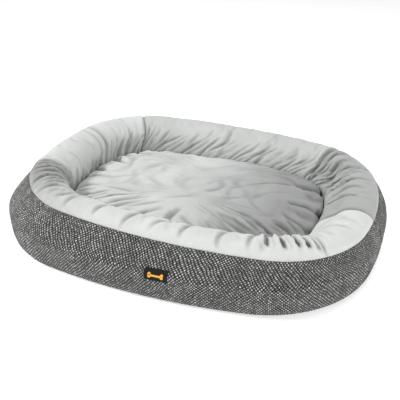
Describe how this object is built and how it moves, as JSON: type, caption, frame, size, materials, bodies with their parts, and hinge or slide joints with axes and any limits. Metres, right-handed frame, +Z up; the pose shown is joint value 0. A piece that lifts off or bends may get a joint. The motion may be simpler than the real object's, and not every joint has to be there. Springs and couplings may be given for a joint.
{
  "type": "pet cushion bed",
  "caption": "Oval bolster bed for a pet: stuffed rim in tweed and plush, a loose pillow in the well, and a zip along the foot of the back wall.",
  "frame": {"origin": "middle of the underside, on the ground", "axes": "+X along the bed's length, +Z up; the front, with the woven label, faces -Y and the zip is on +Y"},
  "size_m": [0.75, 0.5848, 0.1287],
  "materials": {
    "tweed": "matte",
    "plush": "matte",
    "cushion_plush": "matte",
    "filling": "matte",
    "underside_fabric": "matte",
    "label": "matte",
    "zip_tape": "matte",
    "zip_coil": "matte",
    "zip_metal": "satin"
  },
  "bodies": {
    "bed_shell": {"base_panel": "underside_fabric", "base_padding": "filling", "floor_panel": "plush", "bolster_filling": "filling", "wall_front": "tweed", "wall_right": "tweed", "wall_back": "tweed", "wall_left": "tweed", "bolster_front": "plush", "bolster_front_right": "plush", "bolster_right": "plush", "bolster_back": "plush", "bolster_back_left": "plush", "bolster_left": "plush", "side_label": "label", "zip_tape_upper": "zip_tape", "zip_tape_lower": "zip_tape", "zip_coil_upper": "zip_coil", "zip_coil_lower": "zip_coil", "zip_end_stops": "zip_metal"},
    "cushion": {"cushion_bottom": "cushion_plush", "cushion_filling": "filling", "cushion_top": "cushion_plush"},
    "slider": {"zip_slider": "zip_metal"},
    "pull": {"zip_pull": "zip_metal"}
  },
  "joints": [
    {"name": "cushion_lift", "type": "slide", "parent": "bed_shell", "child": "cushion", "axis": [0, 0, 1], "range_m": [0, 0.2]},
    {"name": "slider_travel", "type": "hinge", "parent": "bed_shell", "child": "slider", "pos_m": [0, -0.808, 0.012], "axis": [0, 0, 1], "range_deg": [-11.45, 0]},
    {"name": "pull_swing", "type": "hinge", "parent": "slider", "child": "pull", "pos_m": [-0.10924, 0.28144, 0.012], "axis": [0, 0, 1], "range_deg": [0, 180]}
  ]
}
